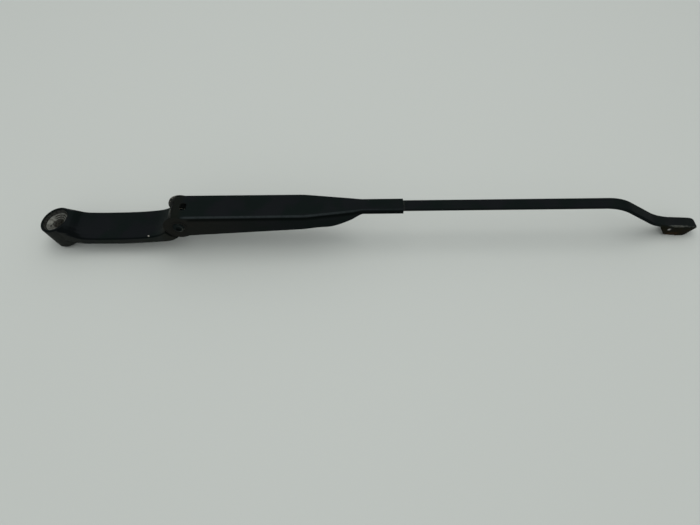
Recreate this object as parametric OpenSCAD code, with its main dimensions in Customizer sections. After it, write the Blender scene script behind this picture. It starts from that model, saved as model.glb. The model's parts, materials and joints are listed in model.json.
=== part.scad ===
// Wiper arm: a die-cast head, a pressed steel retainer hinged on it and a flat
// steel rod that ends in a folded channel for the blade. A tension spring in the
// retainer pulls on the head through a C-shaped link and presses the blade down.
// X runs from the spindle to the tip, Y across the arm, Z up from the table.
// The origin is on the spindle axis, in the middle of the round land.

/* [Boss] */
// Height of the boss along the spindle axis
boss_h = 23.3; // [20:0.1:28]
// Diameter of the boss at its rim
boss_rim_d = 26.8; // [25:0.2:32]
// Diameter of the boss at its foot
boss_foot_d = 25.2; // [24:0.2:30]
// Lean of the spindle axis, away from the hinge
boss_lean = 11.7; // [0:0.1:14]
// Diameter of the nut recess at its mouth
recess_d = 22; // [20:0.1:23]
// Depth of the nut recess in its middle
recess_depth = 5.3; // [4.5:0.1:7]
// Rise of the dished floor from its middle to the wall
dish_rise = 2.2; // [0.5:0.1:3]
// Diameter of the round land under the recess
land_d = 9.6; // [9:0.1:11]
// Length of the round land
land_len = 10; // [8:0.5:11]
// Mouth of the tapered seat, at the foot
seat_mouth_d = 12; // [11.5:0.1:13]

/* [Neck] */
// Width of the neck
neck_w = 30.4; // [28.4:0.2:34]
// Thickness of the neck's edge
neck_t = 7.9; // [7:0.1:10]
// Wall of the neck over its hollow underside
neck_wall = 3; // [2:0.1:3.6]
// Height of the neck's top over the table, in its flat stretch
neck_top = 17; // [15:0.2:18]

/* [Hinge] */
// Distance from the spindle axis to the hinge pin
hinge_x = 106.3; // [100:0.1:120]
// Height of the hinge pin over the table
hinge_h = 28.5; // [27:0.2:31]
// Diameter of the hinge pin
pin_d = 6; // [5:0.1:7]
// Wall of the plastic bushes
bush_wall = 1; // [0.8:0.1:1.5]
// Thickness of the flange on each bush
bush_flange = 0.8; // [0.6:0.1:1.2]
// Radius of the head's lug round the pin
lug_r = 9.2; // [8.4:0.1:9.4]
// Width of the slot in the lug for the link
link_slot = 8; // [6:0.2:10]
// How far the arm lifts before its hood meets the neck
lift_angle = 60; // [40:1:60]

/* [Retainer] */
// Thickness of the pressed sheet
sheet = 1.2; // [1:0.1:1.5]
// Outer width of the retainer
retainer_w = 25.6; // [25:0.2:28]
// Height of the retainer's top over the hinge pin
top_over_pin = 11.6; // [11:0.1:12]
// Outer radius of the bends along the top
bend_r = 2.5; // [1.8:0.1:3.5]
// Outer radius of the bends along the hood
hood_bend_r = 4; // [2.5:0.1:4.2]
// Radius of the ears round the hinge pin
ear_r = 12.2; // [11.6:0.1:12.8]
// Depth of the side walls at the hinge
wall_deep = 23.5; // [21:0.1:24]
// Depth of the side walls where the taper starts
wall_mid = 16.5; // [14:0.1:18]
// Where the sides start to narrow, from the spindle axis
taper_start = 210.8; // [200:0.1:220]
// Where the crimped sleeve starts, from the spindle axis
sleeve_start = 257.8; // [250:0.1:270]
// Length of the crimped sleeve
sleeve_len = 34.5; // [25:0.5:45]

/* [Rod] */
// Width of the flat rod
rod_w = 9.8; // [8:0.1:10]
// Thickness of the flat rod
rod_t = 3; // [2.6:0.1:4]
// How much wider the rod is on the slope between its bends
rod_spread = 2; // [0:0.1:2.4]
// Where the downward bend starts, from the spindle axis
bend_start = 461.5; // [400:0.1:520]
// Slope of the rod between its two bends
bend_angle = 31.5; // [25:0.5:40]
// Middle radius of both bends
bend_radius = 42; // [35:1:50]
// Height of the tip's roof over the table
tip_roof = 13.4; // [12.6:0.1:15]
// Length of the folded channel at the tip
tip_len = 34; // [28:0.5:40]
// Outer width of the folded channel
tip_w = 10.8; // [9.8:0.1:12]
// Thickness of the channel's side walls
tip_wall = 1.8; // [1.4:0.1:2.2]
// Diameter of the cross pin for the blade
blade_pin_d = 3.2; // [2.5:0.1:3.6]

/* [Spring] */
// Mean radius of the coils
coil_r = 3.8; // [3.2:0.1:4.2]
// Diameter of the wire
wire_d = 1.6; // [1.2:0.1:1.8]
// Number of turns
turns = 27; // [20:1:32]
// Length of the link between its two eyes
link_len = 27; // [24:0.5:30]
// Width of the link's curved bar
link_w = 3.8; // [3.2:0.1:4.2]
// Thickness of the link
link_t = 3; // [2:0.1:4]
// Diameter of the pin that the link hooks on
hook_pin_d = 4; // [3.5:0.1:4.4]

/* [Hidden] */
$fn = 64;
eps = 0.01;
// How far a cutter reaches out of what it cuts
over = 6;
paint = "#2b3132";
running_gap = 0.05;
press_gap = 0.02;
side_gap = 0.1;
clearance = 0.5;

// Boss, measured along the spindle axis from the origin
recess_floor = land_len / 2;
rim_top = recess_floor + recess_depth;
foot_len = boss_h - rim_top;
foot_chamfer = 0.6;
// Distance from the origin down to the table, where the boss's foot touches it
foot_drop = foot_len * cos(boss_lean)
    + (boss_foot_d / 2 - foot_chamfer) * sin(boss_lean);

// Hinge, as heights over the table
retainer_top = hinge_h + top_over_pin;
retainer_hw = retainer_w / 2;
hood_angle = 60;
ear_shift = [-0.9, top_over_pin - 0.7 - ear_r];
lug_hw = retainer_hw - sheet - side_gap - bush_flange;
bush_r = pin_d / 2 + running_gap + bush_wall;
flange_r = bush_r + 2.4;
seat_r = top_over_pin + clearance;
// Raised pad on each ear that the rivet bears on, and the washer under its peened end
pad_t = 0.4;
pad_r = 6.6;
washer_t = 1;
washer_r = 5;

// The pin that the link hooks on, seen from the hinge pin
hook_at = [-5.5, -8.6];
hook_x = hinge_x + hook_at[0];
hook_h = hinge_h + hook_at[1];
eye_r = 3.6;

// Rod and its bends
rod_top = retainer_top - sheet;
rod_mid = rod_top - rod_t / 2;
rod_edge = 0.5;
tip_slope = 4;
sleeve_hw = rod_w / 2 + side_gap + sheet;
sleeve_low = rod_top - rod_t - sheet;
drop = rod_top - tip_roof;
slope_run = (drop - bend_radius * (1 - cos(bend_angle))
    - bend_radius * (cos(tip_slope) - cos(bend_angle))) / sin(bend_angle);
bend_len = bend_radius * sin(bend_angle) + slope_run * cos(bend_angle)
    + bend_radius * (sin(bend_angle) - sin(tip_slope));
tip_x = bend_start + bend_len;
channel_x = tip_x - 8;
nose_x = channel_x + tip_len;
blade_x = channel_x + 9;
blade_h = roof_at(blade_x) - rod_t - blade_pin_d / 2 - 0.3;

// Tab at the rod's inner end, where the spring pulls
tab_x = 211.8;
tab_axis = 28;
tab_fold_r = 4;
tab_hole_d = 4;
tab_strip = 1.6;
tab_face_x = tab_x - 0.6;
tab_mid_x = tab_face_x + rod_t / 2;
// Line of pull, from the hook pin to the tab
pull = [tab_x - hook_x, tab_axis - hook_h];
pull_len = norm(pull);
pull_angle = atan2(pull[1], pull[0]);

// Lifts everything that is measured from the table
module on_table() {
    translate([0, 0, -foot_drop]) children();
}

// A cylinder across the arm at a place given as distance and height
module cross_pin(x, h, r, from, to) {
    translate([x, to, h]) rotate([90, 0, 0]) cylinder(r = r, h = to - from);
}

// An outline in the X-Z plane, given a width across the arm
module across(width) {
    translate([0, width / 2, 0]) rotate([90, 0, 0]) linear_extrude(width) children();
}

// Slope of a table of rows at row i, from its neighbours
function row_slope(rows, i) =
    let (a = max(i - 1, 0), b = min(i + 1, len(rows) - 1))
    (rows[b] - rows[a]) / (rows[b][0] - rows[a][0]);

// A smooth curve through the rows, read at x
function row_at(rows, x, i = 0) =
    i < len(rows) - 2 && x > rows[i + 1][0]
    ? row_at(rows, x, i + 1)
    : let (
        p = rows[i], q = rows[i + 1],
        h = q[0] - p[0], t = (x - p[0]) / h,
        m = row_slope(rows, i) * h, n = row_slope(rows, i + 1) * h
      )
      p * (2 * t ^ 3 - 3 * t ^ 2 + 1) + m * (t ^ 3 - 2 * t ^ 2 + t)
      + q * (3 * t ^ 2 - 2 * t ^ 3) + n * (t ^ 3 - t ^ 2);

// Points of an arc in the section plane
function arc(y, z, r, from, to, n) =
    [for (k = [0:n]) let (a = from + (to - from) * k / n) [y + r * cos(a), z + r * sin(a)]];

function at_x(x, outline) = [for (p = outline) [x, p[0], p[1]]];

// Triangles that close a ring: a fan, or a strip across a folded sheet
function ring_end(n, folded) = folded
    ? [for (k = [0:n / 2 - 2]) each [[k, k + 1, n - 1 - k], [k + 1, n - 2 - k, n - 1 - k]]]
    : [[for (k = [0:n - 1]) k]];

function backwards(list) = [for (i = [len(list) - 1:-1:0]) list[i]];

// A solid through rings with the same number of points
module loft(rings, folded = false) {
    n = len(rings[0]);
    last = (len(rings) - 1) * n;
    walls = [for (i = [0:len(rings) - 2], k = [0:n - 1])
        let (a = i * n + k, b = i * n + (k + 1) % n)
        each [[a, a + n, b], [b, a + n, b + n]]];
    first_end = ring_end(n, folded);
    last_end = [for (f = first_end) [for (k = backwards(f)) last + k]];
    ends = concat(first_end, last_end);
    polyhedron(points = [for (r = rings) each r], faces = concat(walls, ends), convexity = 8);
}

// Section of the cast neck: rounded edges and a crowned top
function neck_outline(hw, top, low, crown) =
    let (
        r = 2.4, r_low = 1.1, flatness = 4, slope = atan(flatness * crown / hw),
        edge = hw - r + r * sin(slope), edge_h = top - r + r * cos(slope)
    )
    concat(
        arc(hw - r, top - r, r, 0, 90 - slope, 5),
        [for (a = [18:18:162]) let (y = edge * cos(a))
            [y, edge_h + crown * (1 - (y / edge) ^ flatness)]],
        arc(-hw + r, top - r, r, 90 + slope, 180, 5),
        arc(-hw + r_low, low + r_low, r_low, 180, 270, 2),
        arc(hw - r_low, low + r_low, r_low, 270, 360, 2));

// Rows of the neck: distance, half width, height of the top edge and underside, crown
neck_hw = neck_w / 2;
neck_low = neck_top - neck_t;
rim_h = foot_drop + rim_top * cos(boss_lean);
neck_end = hinge_x - 4;
neck_rows = [
    [-0.5, neck_hw - 3.8, rim_h - 2.6, rim_h - 12, 1.5],
    [4.3, neck_hw - 2.8, rim_h - 2.2, rim_h - 13, 4],
    [7.8, neck_hw - 2, rim_h - 3, rim_h - 14, 6.6],
    [10.8, neck_hw - 1.5, rim_h - 3.9, neck_low + 1.6, 7.6],
    [14.4, neck_hw - 1, rim_h - 5.6, neck_low + 0.8, 6.6],
    [18.8, neck_hw - 0.5, neck_top + 1, neck_low + 0.3, 4.4],
    [23.8, neck_hw - 0.2, neck_top + 0.3, neck_low, 2.3],
    [28.8, neck_hw - 0.1, neck_top, neck_low, 1.1],
    [40, neck_hw, neck_top - 0.2, neck_low, 0.5],
    [hinge_x - 48, neck_hw, neck_top + 0.1, neck_low, 0.5],
    [hinge_x - 30, neck_hw, neck_top + 1.4, neck_low + 1.2, 0.5],
    [hinge_x - 18, neck_hw - 0.3, neck_top + 4, neck_low + 1.7, 0.5],
    [hinge_x - 9, neck_hw - 1.2, neck_top + 9.2, neck_low + 2.4, 0.5],
    [neck_end, neck_hw - 2, neck_top + 11, neck_low + 5.4, 0.5]];

function neck_ring(x, inset) =
    let (r = row_at(neck_rows, x))
    at_x(x, neck_outline(r[1] - inset, r[2] - inset, r[3] - (inset > 0 ? neck_t : 0), r[4]));

// The neck's solid between two stations, shrunk by an inset
module neck_body(from, to, inset, steps) {
    loft([for (i = [0:steps]) neck_ring(from + (to - from) * i / steps, inset)]);
}

// The round boss, along the spindle axis
module boss_body() {
    rim_round = 1.4;
    rotate_extrude($fn = 96) polygon(concat(
        [[0, -foot_len],
         [boss_foot_d / 2 - foot_chamfer, -foot_len],
         [boss_foot_d / 2, -foot_len + foot_chamfer]],
        arc(boss_rim_d / 2 - rim_round, rim_top - rim_round, rim_round, 0, 90, 5),
        [[0, rim_top]]));
}

// Nut recess with its dished floor, round land and tapered seat
module spindle_hole() {
    seat_top = -land_len / 2;
    mouth_r = recess_d / 2;
    wall_slant = 0.6;
    lip = 0.7;
    rotate_extrude($fn = 96) polygon([
        [0, recess_floor], [land_d / 2, recess_floor],
        [mouth_r - wall_slant, recess_floor + dish_rise],
        [mouth_r, rim_top - lip], [mouth_r + lip, rim_top + eps],
        [mouth_r + lip, rim_top + over], [0, rim_top + over]]);
    translate([0, 0, seat_top - eps]) cylinder(d = land_d, h = land_len + over / 2);
    rotate_extrude() polygon([
        [0, -foot_len - eps], [seat_mouth_d / 2, -foot_len - eps],
        [land_d / 2, seat_top], [0, seat_top]]);
}

// Side view of the tongue that joins the neck to the lug
module tongue_outline() {
    // Edge of the seat that the hood swings into, seen from the hinge pin
    stop = 180 + lift_angle - 27;
    translate([hinge_x, hinge_h]) {
        circle(r = lug_r);
        polygon([
            [-22, neck_top + 1 - hinge_h],
            (seat_r + 1.2) * [cos(stop), sin(stop)],
            lug_r * 0.8 * [cos(stop), sin(stop)],
            [0, 0],
            lug_r * [cos(302), sin(302)],
            [hook_at[0] + 6.5, hook_at[1] - 3.4],
            [hook_at[0] + 2, hook_at[1] - 6.4],
            [-12, neck_low + 2.4 - hinge_h],
            [-22, neck_low + 1.8 - hinge_h]]);
    }
}

module head() {
    ear_x = hinge_x + ear_shift[0];
    ear_h = hinge_h + ear_shift[1];
    // The ears pass the lug this far from its middle
    seat_side = neck_w - lug_hw - 0.4;
    hollow = [27, hinge_x - 20];
    rib_t = 2.4;
    slot_at = eye_r + 0.8;
    color(paint) difference() {
        union() {
            rotate([0, -boss_lean, 0]) boss_body();
            on_table() difference() {
                neck_body(neck_rows[0][0], neck_end, 0, 40);
                // Hollow underside with a rib down the middle
                difference() {
                    neck_body(hollow[0], hollow[1], neck_wall, 24);
                    translate([0, -rib_t / 2, 0]) cube([hinge_x, rib_t, retainer_top]);
                }
                // Seats that the hood and the ears of the retainer swing in
                cross_pin(hinge_x, hinge_h, seat_r, -neck_w, neck_w);
                for (s = [-1, 1]) {
                    translate([0, s * neck_w, 0]) {
                        cross_pin(hinge_x, hinge_h, ear_r + 2 * clearance,
                            -seat_side, seat_side);
                        cross_pin(ear_x, ear_h, ear_r + clearance, -seat_side, seat_side);
                    }
                }
            }
            on_table() across(2 * lug_hw) tongue_outline();
        }
        rotate([0, -boss_lean, 0]) spindle_hole();
        on_table() {
            // Slot for the link, bores for the bushes and the hook pin
            translate([hook_x - slot_at, -link_slot / 2, hook_h - slot_at])
                cube([neck_w, link_slot, neck_w]);
            // The link's bow hangs below the slot in front of the hook pin
            translate([hook_x + hook_pin_d / 2, -link_slot / 2, 0])
                cube([neck_w, link_slot, hook_h]);
            cross_pin(hinge_x, hinge_h, bush_r + press_gap, -retainer_hw, retainer_hw);
            cross_pin(hook_x, hook_h, hook_pin_d / 2 + press_gap, -retainer_hw, retainer_hw);
        }
    }
}

module hook_pin() {
    half_len = lug_hw - 0.3;
    color("silver") on_table()
        cross_pin(hook_x, hook_h, hook_pin_d / 2, -half_len, half_len);
}

// Flanged plastic bush in one cheek of the lug
module pivot_bush(side) {
    depth = lug_hw - link_slot / 2 - 0.2;
    color("ivory") on_table() translate([hinge_x, 0, hinge_h])
        rotate([-90 * side, 0, 0]) translate([0, 0, lug_hw - depth]) difference() {
            union() {
                cylinder(r = bush_r, h = depth + eps);
                translate([0, 0, depth]) cylinder(r = flange_r, h = bush_flange);
            }
            translate([0, 0, -over / 2])
                cylinder(r = pin_d / 2 + running_gap, h = depth + bush_flange + over);
        }
}

// Rivet: a domed head on the near ear, a shank and a peened end on the far one
module pivot_pin() {
    head_r = 4.8;
    head_t = 2.2;
    head_edge = 0.5;
    end_t = 1.2;
    end_chamfer = 0.6;
    pad = pad_t + retainer_hw;
    color(paint) on_table() translate([hinge_x, 0, hinge_h]) rotate([90, 0, 0])
        rotate_extrude() polygon(concat(
            [[0, pad + head_t]],
            [for (k = [1:8]) let (a = 90 * k / 8)
                [head_r * sin(a), pad + head_edge + (head_t - head_edge) * cos(a)]],
            [[head_r, pad], [pin_d / 2, pad],
             [pin_d / 2, -pad - washer_t - end_t + end_chamfer],
             [pin_d / 2 - end_chamfer, -pad - washer_t - end_t],
             [0, -pad - washer_t - end_t]]));
}

// Washer under the peened end
module pivot_washer() {
    color("dimgray") on_table() translate([hinge_x, retainer_hw + pad_t, hinge_h])
        rotate([-90, 0, 0]) difference() {
            cylinder(r = washer_r, h = washer_t);
            translate([0, 0, -over / 2])
                cylinder(r = pin_d / 2 + press_gap, h = washer_t + over);
        }
}

// Section of the open channel, as one closed outline round the sheet
function channel_outline(hw, top, low, r) = concat(
    [[-hw, low]],
    arc(-hw + r, top - r, r, 180, 90, 5),
    arc(hw - r, top - r, r, 90, 0, 5),
    [[hw, low], [hw - sheet, low]],
    arc(hw - r, top - r, r - sheet, 0, 90, 5),
    arc(-hw + r, top - r, r - sheet, 90, 180, 5),
    [[-hw + sheet, low]]);

// Rows of the retainer: distance, half width, lower edge and radius of the bends
taper_len = sleeve_start - taper_start;
wall_low = retainer_top - wall_mid;
function wall_at(x) =
    retainer_top - wall_deep + (wall_deep - wall_mid) * (x - hinge_x) / (taper_start - hinge_x);
retainer_rows = [
    [hinge_x, retainer_hw, retainer_top - wall_deep, hood_bend_r],
    [hinge_x + 4, retainer_hw, wall_at(hinge_x + 4), bend_r],
    [hinge_x + ear_r, retainer_hw, wall_at(hinge_x + ear_r), bend_r],
    [(hinge_x + taper_start) / 2, retainer_hw - 0.1, wall_at((hinge_x + taper_start) / 2), bend_r],
    [taper_start - 6, retainer_hw - 0.2, wall_low - 0.4, bend_r],
    [taper_start, retainer_hw - 0.4, wall_low, bend_r],
    [taper_start + 0.2 * taper_len, retainer_hw * 0.89, wall_low + 0.4, bend_r],
    [taper_start + 0.5 * taper_len, retainer_hw * 0.51 + sleeve_hw * 0.51, wall_low + 0.2, bend_r - 0.2],
    [taper_start + 0.82 * taper_len, sleeve_hw + 1.5, sleeve_low - 5.4, bend_r - 0.4],
    [sleeve_start, sleeve_hw, sleeve_low - 0.3, bend_r - 1.1],
    [sleeve_start + 5, sleeve_hw, sleeve_low, bend_r - 1.1],
    [sleeve_start + sleeve_len, sleeve_hw, sleeve_low, bend_r - 1.1]];

function retainer_ring(x) =
    let (r = row_at(retainer_rows, x))
    at_x(x, backwards(channel_outline(r[1], retainer_top, r[2], r[3])));

// Section of the hood, from the pin's axis outwards
module hood_outline() {
    r = hood_bend_r;
    polygon(concat(
        [[0, -retainer_hw]],
        arc(top_over_pin - r, -retainer_hw + r, r, -90, 0, 5),
        arc(top_over_pin - r, retainer_hw - r, r, 0, 90, 5),
        [[0, retainer_hw], [0, retainer_hw - sheet]],
        arc(top_over_pin - r, retainer_hw - r, r - sheet, 90, 0, 5),
        arc(top_over_pin - r, -retainer_hw + r, r - sheet, 0, -90, 5),
        [[0, -retainer_hw + sheet]]));
}

module retainer() {
    hole_x = hinge_x + 4.3;
    hole_y = -0.6;
    hole_d = 5.6;
    hole_len = 8;
    lip_w = sleeve_hw - sheet / 2;
    seam = 0.3;
    sleeve_end = sleeve_start + sleeve_len;
    stations = concat(
        [for (d = [0, 1, 2, 3, 4, ear_r]) hinge_x + d],
        [(hinge_x + taper_start) / 2],
        [for (i = [0:22]) taper_start - 6 + (taper_len + 12) * i / 22],
        [sleeve_end]);
    color(paint) on_table() difference() {
        union() {
            loft([for (x = stations) retainer_ring(x)], folded = true);
            translate([hinge_x, 0, hinge_h]) rotate([90, 0, 0]) rotate([0, 0, 90])
                rotate_extrude(angle = hood_angle, $fn = 96) hood_outline();
            for (m = [0, 1]) mirror([0, m, 0]) {
                cross_pin(hinge_x + ear_shift[0], hinge_h + ear_shift[1], ear_r,
                    retainer_hw - sheet, retainer_hw);
                cross_pin(hinge_x, hinge_h, pad_r, retainer_hw - sheet, retainer_hw + pad_t);
                // Lips folded in under the rod, with a seam between them
                translate([sleeve_start + 1, seam, sleeve_low])
                    cube([sleeve_len - 1, lip_w, sheet]);
            }
        }
        cross_pin(hinge_x, hinge_h, pin_d / 2 + press_gap, -neck_w, neck_w);
        // Oblong hole behind the hood
        translate([hole_x, hole_y, hinge_h + lug_r]) {
            for (s = [-1, 1])
                translate([0, s * (hole_len - hole_d) / 2, 0]) cylinder(d = hole_d, h = over);
            translate([-hole_d / 2, (hole_d - hole_len) / 2, 0])
                cube([hole_d, hole_len - hole_d, over]);
        }
    }
}

// Section of the flat rod, with rounded edges
function rod_outline(width) =
    let (y = width / 2 - rod_edge, z = rod_t / 2 - rod_edge)
    concat(
        arc(y, z, rod_edge, 0, 90, 3), arc(-y, z, rod_edge, 90, 180, 3),
        arc(-y, -z, rod_edge, 180, 270, 3), arc(y, -z, rod_edge, 270, 360, 3));

// Middle line of the rod, as distance, height and heading: up the tab, round the
// fold, along the straight and down through both bends
function rod_path() =
    let (
        fold = tab_fold_r + rod_t / 2, fold_x = tab_mid_x + fold,
        low_x = bend_start + bend_radius * sin(bend_angle) + slope_run * cos(bend_angle),
        low_h = rod_mid - bend_radius * (1 - cos(bend_angle)) - slope_run * sin(bend_angle),
        level = [low_x + bend_radius * sin(bend_angle), low_h + bend_radius * cos(bend_angle)]
    )
    concat(
        [[tab_mid_x, tab_axis - tab_strip, 90]],
        [for (k = [0:6]) let (a = 180 - 15 * k)
            [fold_x + fold * cos(a), rod_mid - fold + fold * sin(a), a - 90]],
        [for (k = [0:10]) let (a = bend_angle * k / 10)
            [bend_start + bend_radius * sin(a), rod_mid - bend_radius * (1 - cos(a)), -a]],
        [for (k = [0:10]) let (a = bend_angle - (bend_angle - tip_slope) * k / 10)
            [level[0] - bend_radius * sin(a), level[1] - bend_radius * cos(a), -a]]);

// The rod spreads with its slope
function rod_ring(p) = [for (q = rod_outline(rod_w + rod_spread * max(0, -p[2] / bend_angle)))
    [p[0] - q[1] * sin(p[2]), q[0], p[1] + q[1] * cos(p[2])]];

// Height of the roof of the tip at a distance, through the end of the second bend
function roof_at(x) = x < tip_x
    ? let (r = bend_radius - rod_t / 2, a = asin((tip_x + r * sin(tip_slope) - x) / r))
      tip_roof + r * (cos(tip_slope) - cos(a))
    : tip_roof - (x - tip_x) * tan(tip_slope);

// Outer section of the folded channel
function tip_outline(hw, top, low, r) = concat(
    arc(hw - r, top - r, r, 0, 90, 5),
    arc(-hw + r, top - r, r, 90, 180, 5),
    [[-hw, low], [hw, low]]);

// Rows of the channel: distance from its start, half width, height over the roof line, underside
tip_hw = tip_w / 2;
tip_rows = [
    [-6, rod_w / 2 - 1.6, -1.2, 0],
    [-2, rod_w / 2 - 0.7, -0.5, 0],
    [1.5, tip_hw - 0.3, 0.1, 0],
    [9, tip_hw, 0.1, 0],
    [tip_len - 7, tip_hw, 0.1, 0],
    [tip_len - 3.6, tip_hw - 0.3, -0.2, 0.4],
    [tip_len - 1.4, tip_hw - 1, -1.3, 1.7],
    [tip_len, tip_hw - 2.4, -3.4, 3.8]];

// Lower edge of the channel's sides: slanted at the rear, then down to the table
function side_low(d) =
    let (high = roof_at(channel_x) - rod_t - 0.4, heel = [9, 1.9], toe = 21)
    d < 0 ? roof_at(channel_x + d) - rod_t + 0.6
    : d < heel[0] ? high + (heel[1] - high) * d / heel[0]
    : max(0, heel[1] * (toe - d) / (toe - heel[0]));

function tip_ring(d) =
    let (r = row_at(tip_rows, d), x = channel_x + d, top = roof_at(x) + r[2])
    at_x(x, tip_outline(r[1], top, max(side_low(d), r[3]), 1.5));

module tip_channel() {
    roof_t = rod_t + 0.1;
    cavity_end = tip_len - 5;
    nose_len = 7;
    stations = concat(
        [-6, -4, -2, -0.5],
        [for (d = [0:9]) d],
        [for (k = [1:4]) 9 + (tip_len - nose_len - 9) * k / 4],
        [for (k = [1:8]) tip_len - nose_len * (1 - sin(90 * k / 8))]);
    difference() {
        loft([for (d = stations) tip_ring(d)]);
        across(tip_w - 2 * tip_wall) polygon([
            [channel_x - 2, -1], [channel_x - 2, roof_at(channel_x - 2) - rod_t],
            [tip_x, roof_at(tip_x) - roof_t],
            [channel_x + cavity_end - 2, roof_at(channel_x + cavity_end) - roof_t],
            [channel_x + cavity_end, roof_at(channel_x + cavity_end) - roof_t - 2],
            [channel_x + cavity_end, -1]]);
    }
}

module rod() {
    color(paint) on_table() difference() {
        union() {
            loft([for (p = rod_path()) rod_ring(p)]);
            tip_channel();
        }
        cross_pin(blade_x, blade_h, blade_pin_d / 2 + press_gap, -tip_w, tip_w);
        // Hole in the tab for the spring's hook
        translate([tab_face_x - over, 0, tab_axis + tab_strip + tab_hole_d / 2])
            rotate([0, 90, 0]) cylinder(d = tab_hole_d, h = rod_t + 2 * over);
    }
}

// Cross pin that the wiper blade clips on
module blade_pin() {
    color("darkgray") on_table()
        cross_pin(blade_x, blade_h, blade_pin_d / 2, -tip_hw - 0.15, tip_hw + 0.15);
}

// Moves to the hook pin, with X along the line of pull
module on_pull() {
    on_table() translate([hook_x, 0, hook_h]) rotate([0, -pull_angle, 0]) children();
}

// C-shaped link, curved so that the hinge pin has room inside it
module link_outline() {
    bulge = link_w / 2 + pin_d / 2 + 0.8;
    arc_r = (link_len ^ 2 / 4 + bulge ^ 2) / (2 * bulge);
    half = asin(link_len / 2 / arc_r);
    mid = [link_len / 2, arc_r - bulge];
    difference() {
        union() {
            circle(r = eye_r);
            translate([link_len, 0]) circle(r = eye_r - 0.4);
            polygon(concat(
                arc(mid[0], mid[1], arc_r + link_w / 2, 270 - half, 270 + half, 30),
                arc(mid[0], mid[1], arc_r - link_w / 2, 270 + half, 270 - half, 30)));
        }
        circle(d = hook_pin_d + 0.16);
        translate([link_len, 0]) circle(d = wire_d + 1.4);
    }
}

module spring_link() {
    color("gray") on_pull() across(link_t) link_outline();
}

// Middle line of the spring's wire along the line of pull: a hook through the
// link's eye, the coils and a hook round the strip of the rod's tab
coil_start = link_len + coil_r + 0.9;
hook_end = pull_len;
coil_end = hook_end - 5;
function wire_path() = concat(
    [for (a = [300:-20:100]) [coil_start - 0.9 + coil_r * cos(a), coil_r * sin(a), 0]],
    [for (k = [0:turns * 12 - 6]) let (a = 90 + 30 * k)
        [coil_start + (coil_end - coil_start) * k / (turns * 12 - 6),
         coil_r * sin(a), coil_r * cos(a)]],
    [for (a = [80:-20:-100]) [hook_end + coil_r * cos(a), 0, coil_r * sin(a)]]);

function unit(v) = v / norm(v);
function tangent(path, i) = unit(path[min(i + 1, len(path) - 1)] - path[max(i - 1, 0)]);
// Carries a crosswise direction along the path without twist
function carried(path, i, side) =
    let (t = tangent(path, i)) unit(side - t * (side * t));
function frames(path, i, side) = i == len(path) ? []
    : let (s = carried(path, i, side)) concat([s], frames(path, i + 1, s));

module tension_spring() {
    path = wire_path();
    sides = frames(path, 0, [0, 0, 1]);
    n = 6;
    color("slategray") on_pull() loft([for (i = [0:len(path) - 1])
        let (s = sides[i], u = cross(tangent(path, i), s))
        [for (k = [0:n - 1]) path[i] + wire_d / 2 * (s * cos(360 * k / n) + u * sin(360 * k / n))]]);
}

head();
hook_pin();
pivot_bush(-1);  // pivot_bush_near
pivot_bush(1);  // pivot_bush_far
pivot_pin();
pivot_washer();
retainer();
rod();
blade_pin();
spring_link();
tension_spring();
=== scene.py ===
import json
import math

import bmesh
import bpy
import numpy as np
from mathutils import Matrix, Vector


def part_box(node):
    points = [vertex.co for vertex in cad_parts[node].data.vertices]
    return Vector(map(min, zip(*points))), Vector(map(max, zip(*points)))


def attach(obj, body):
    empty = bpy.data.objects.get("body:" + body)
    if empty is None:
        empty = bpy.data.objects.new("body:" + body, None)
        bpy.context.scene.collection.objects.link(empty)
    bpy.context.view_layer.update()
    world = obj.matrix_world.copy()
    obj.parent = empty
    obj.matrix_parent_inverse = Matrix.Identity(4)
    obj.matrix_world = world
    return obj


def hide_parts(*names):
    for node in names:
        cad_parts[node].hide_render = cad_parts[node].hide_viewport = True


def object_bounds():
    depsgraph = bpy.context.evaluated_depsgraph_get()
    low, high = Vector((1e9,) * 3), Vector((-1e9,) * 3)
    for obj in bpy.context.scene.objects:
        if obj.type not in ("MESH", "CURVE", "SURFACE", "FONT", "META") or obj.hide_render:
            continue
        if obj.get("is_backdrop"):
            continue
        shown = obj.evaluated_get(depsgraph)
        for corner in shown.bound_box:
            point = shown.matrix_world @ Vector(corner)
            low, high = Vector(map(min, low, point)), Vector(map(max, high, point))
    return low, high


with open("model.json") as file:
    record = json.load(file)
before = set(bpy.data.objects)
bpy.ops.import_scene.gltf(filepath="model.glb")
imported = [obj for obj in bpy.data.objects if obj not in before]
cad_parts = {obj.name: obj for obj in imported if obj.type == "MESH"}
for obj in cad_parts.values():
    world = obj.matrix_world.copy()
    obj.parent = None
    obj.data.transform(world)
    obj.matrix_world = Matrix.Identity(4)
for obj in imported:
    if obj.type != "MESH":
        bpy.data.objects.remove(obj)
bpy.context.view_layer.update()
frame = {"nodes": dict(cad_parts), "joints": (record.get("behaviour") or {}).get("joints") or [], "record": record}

bl_info = {
    "name": "Wiper Arm",
    "version": (1, 0, 0),
    "blender": (4, 5, 0),
    "location": "View3D > Sidebar > Wiper Arm",
    "description": "Skins, finishes and stage for a windscreen wiper arm",
    "category": "Object",
}

MM = 0.001


def in_millimetres(place):
    """A place of the frame in millimetres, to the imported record's own precision."""
    return np.round(np.array(place) / MM, 4)


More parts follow.
